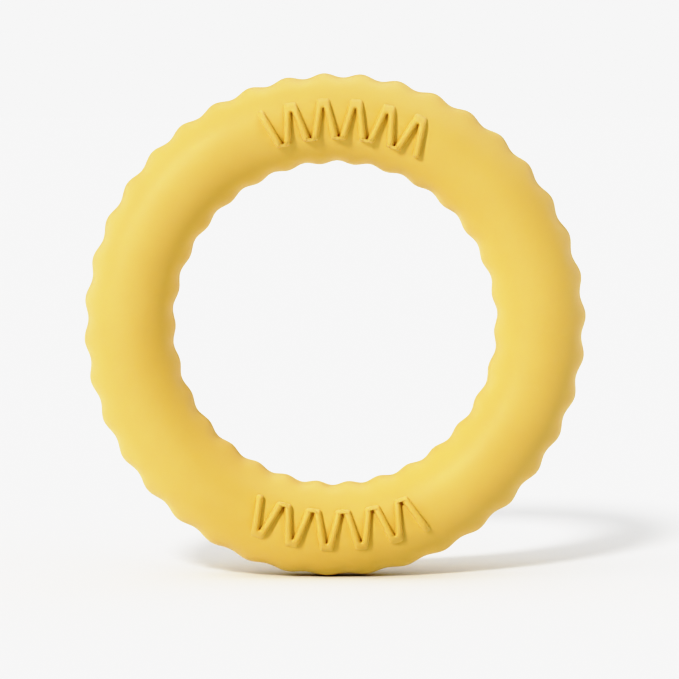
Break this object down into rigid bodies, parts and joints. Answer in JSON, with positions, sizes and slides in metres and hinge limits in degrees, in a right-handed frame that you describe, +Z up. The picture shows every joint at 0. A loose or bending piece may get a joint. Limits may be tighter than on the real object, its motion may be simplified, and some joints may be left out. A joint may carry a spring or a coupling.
{
  "type": "juggling ring",
  "caption": "Soft round-section ring with scalloped outer and inner rims and raised zigzag grips on both faces, thrown and caught in one hand or stood on its rim.",
  "frame": {"origin": "the ring's centre: the middle of its hole, on the plane where the two skins meet", "axes": "+Y along the ring's axis, towards its back face, so the front face looks along -Y; +Z up through the top of the ring as it stands on its rim"},
  "size_m": [0.1997, 0.0396, 0.2006],
  "materials": {
    "skin": "matte",
    "grip": "matte",
    "foam": "matte",
    "hoop": "satin",
    "sleeve": "satin"
  },
  "bodies": {
    "root": {"front_skin": "skin", "back_skin": "skin", "front_top_grip": "grip", "front_bottom_grip": "grip", "back_top_grip": "grip", "back_bottom_grip": "grip", "front_foam_core": "foam", "back_foam_core": "foam", "core_hoop": "hoop", "hoop_sleeve": "sleeve"}
  },
  "joints": []
}
